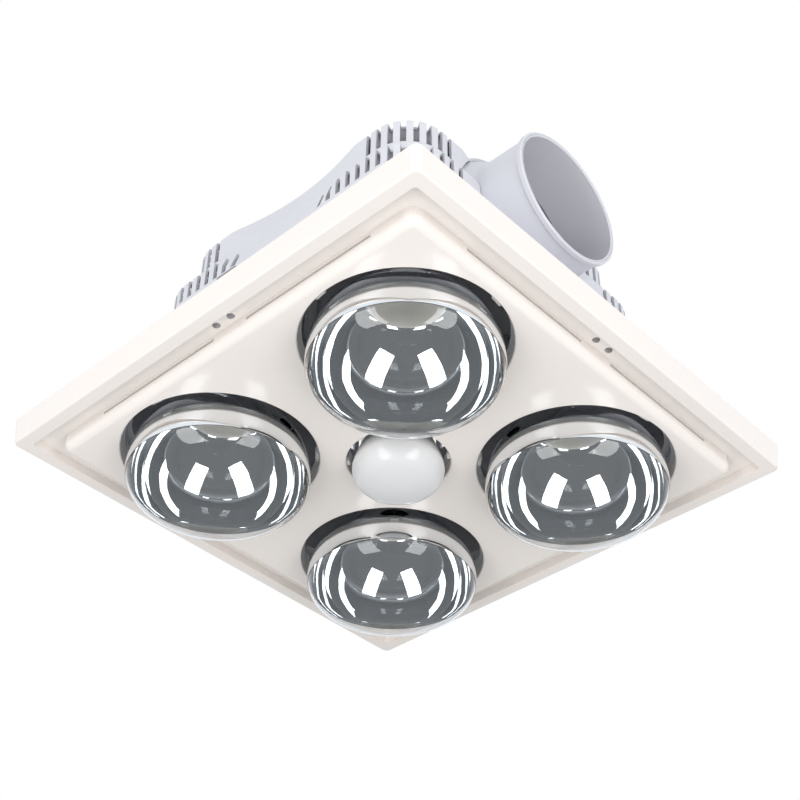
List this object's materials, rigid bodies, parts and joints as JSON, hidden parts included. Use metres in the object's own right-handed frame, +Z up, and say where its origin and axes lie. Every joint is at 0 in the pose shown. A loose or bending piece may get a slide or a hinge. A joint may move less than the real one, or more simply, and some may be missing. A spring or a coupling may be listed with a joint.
{
  "type": "bathroom ceiling heat lamp",
  "caption": "Square ceiling heater with reflector heat lamps round a frosted centre lamp, an extractor fan and a side duct spigot with a draught shutter.",
  "frame": {"origin": "centre of the flange's ceiling face, in the plane of the ceiling surface", "axes": "+Z up into the ceiling void, lamps face -Z into the room, +X along the duct as it leaves"},
  "size_m": [0.3734, 0.3734, 0.2466],
  "materials": {
    "fascia_enamel": "gloss, warm white",
    "tray_metal": "bright rolled",
    "housing_plastic": "satin, cool white",
    "dark_plastic": "matt, near black",
    "inner_plastic": "matt grey",
    "wheel_plastic": "matt dark grey",
    "lamination_steel": "varnished laminations",
    "coil_bobbin": "taped coil",
    "plated_steel": "zinc plated",
    "heat_lamp_glass": "silvered bowl, clear front",
    "frosted_glass": "frosted",
    "cap_brass": "dull",
    "filament_metal": "tungsten and glass stem",
    "ceramic": "glazed",
    "contact_brass": "bright",
    "block_plastic": "matt",
    "lead_sleeve": "heat-proof sleeve"
  },
  "bodies": {
    "body": {"bridge_screws": "plated_steel", "cable_clamp": "inner_plastic", "cover_screws": "plated_steel", "duct_spigot": "housing_plastic", "fan_screws": "plated_steel", "fan_volute": "inner_plastic", "fascia": "fascia_enamel", "fascia_screws": "plated_steel", "holder_contacts": "contact_brass", "holder_screws": "plated_steel", "holder_straps": "plated_steel", "housing": "housing_plastic", "lamp_holder_far": "ceramic", "lamp_holder_left": "ceramic", "lamp_holder_near": "ceramic", "lamp_holder_right": "ceramic", "motor_bracket_lower": "plated_steel", "motor_bracket_upper": "plated_steel", "motor_coil": "coil_bobbin", "motor_screws": "plated_steel", "motor_stator": "lamination_steel", "reflector_tray": "tray_metal", "shutter_pin": "plated_steel", "spigot_screws": "plated_steel", "spot_bridge": "plated_steel", "spot_holder": "ceramic", "strap_screws": "plated_steel", "terminal_block": "block_plastic", "terminal_cover": "housing_plastic", "tray_screws": "plated_steel", "volute_cover": "inner_plastic", "wiring": "lead_sleeve"},
    "shutter_leaf_a": {"shutter_leaf_a": "dark_plastic"},
    "shutter_leaf_b": {"shutter_leaf_b": "dark_plastic"},
    "fan": {"fan_wheel": "wheel_plastic", "motor_rotor": "plated_steel"},
    "spot_lamp": {"spot_lamp_glass": "frosted_glass", "spot_lamp_cap": "cap_brass", "spot_lamp_filament": "filament_metal"},
    "heat_lamp_near": {"heat_lamp_glass_near": "heat_lamp_glass", "heat_lamp_cap_near": "cap_brass", "heat_lamp_filament_near": "filament_metal"},
    "heat_lamp_left": {"heat_lamp_glass_left": "heat_lamp_glass", "heat_lamp_cap_left": "cap_brass", "heat_lamp_filament_left": "filament_metal"},
    "heat_lamp_right": {"heat_lamp_glass_right": "heat_lamp_glass", "heat_lamp_cap_right": "cap_brass", "heat_lamp_filament_right": "filament_metal"},
    "heat_lamp_far": {"heat_lamp_glass_far": "heat_lamp_glass", "heat_lamp_cap_far": "cap_brass", "heat_lamp_filament_far": "filament_metal"}
  },
  "joints": [
    {"name": "shutter_a_swing", "type": "hinge", "parent": "body", "child": "shutter_leaf_a", "pos_m": [0.119, -0.0094, 0.1124], "axis": [0, 0, -1], "range_deg": [0, 68], "stiffness_Nm_per_rad": 0.002, "springref_deg": -20.05},
    {"name": "shutter_b_swing", "type": "hinge", "parent": "body", "child": "shutter_leaf_b", "pos_m": [0.119, -0.0094, 0.1124], "axis": [0, 0, 1], "range_deg": [0, 68], "stiffness_Nm_per_rad": 0.002, "springref_deg": -20.05},
    {"name": "fan_spin", "type": "hinge", "parent": "body", "child": "fan", "pos_m": [-0.012, 0.014, 0.112], "axis": [0, 0, 1], "continuous": true},
    {"name": "heat_lamp_near_draw", "type": "slide", "parent": "body", "child": "heat_lamp_near", "axis": [0, 0, -1], "range_m": [0, 0.03]},
    {"name": "heat_lamp_left_draw", "type": "slide", "parent": "body", "child": "heat_lamp_left", "axis": [0, 0, -1], "range_m": [0, 0.03]},
    {"name": "heat_lamp_right_draw", "type": "slide", "parent": "body", "child": "heat_lamp_right", "axis": [0, 0, -1], "range_m": [0, 0.03]},
    {"name": "heat_lamp_far_draw", "type": "slide", "parent": "body", "child": "heat_lamp_far", "axis": [0, 0, -1], "range_m": [0, 0.03]},
    {"name": "spot_lamp_draw", "type": "slide", "parent": "body", "child": "spot_lamp", "axis": [0, 0, -1], "range_m": [0, 0.03]}
  ]
}
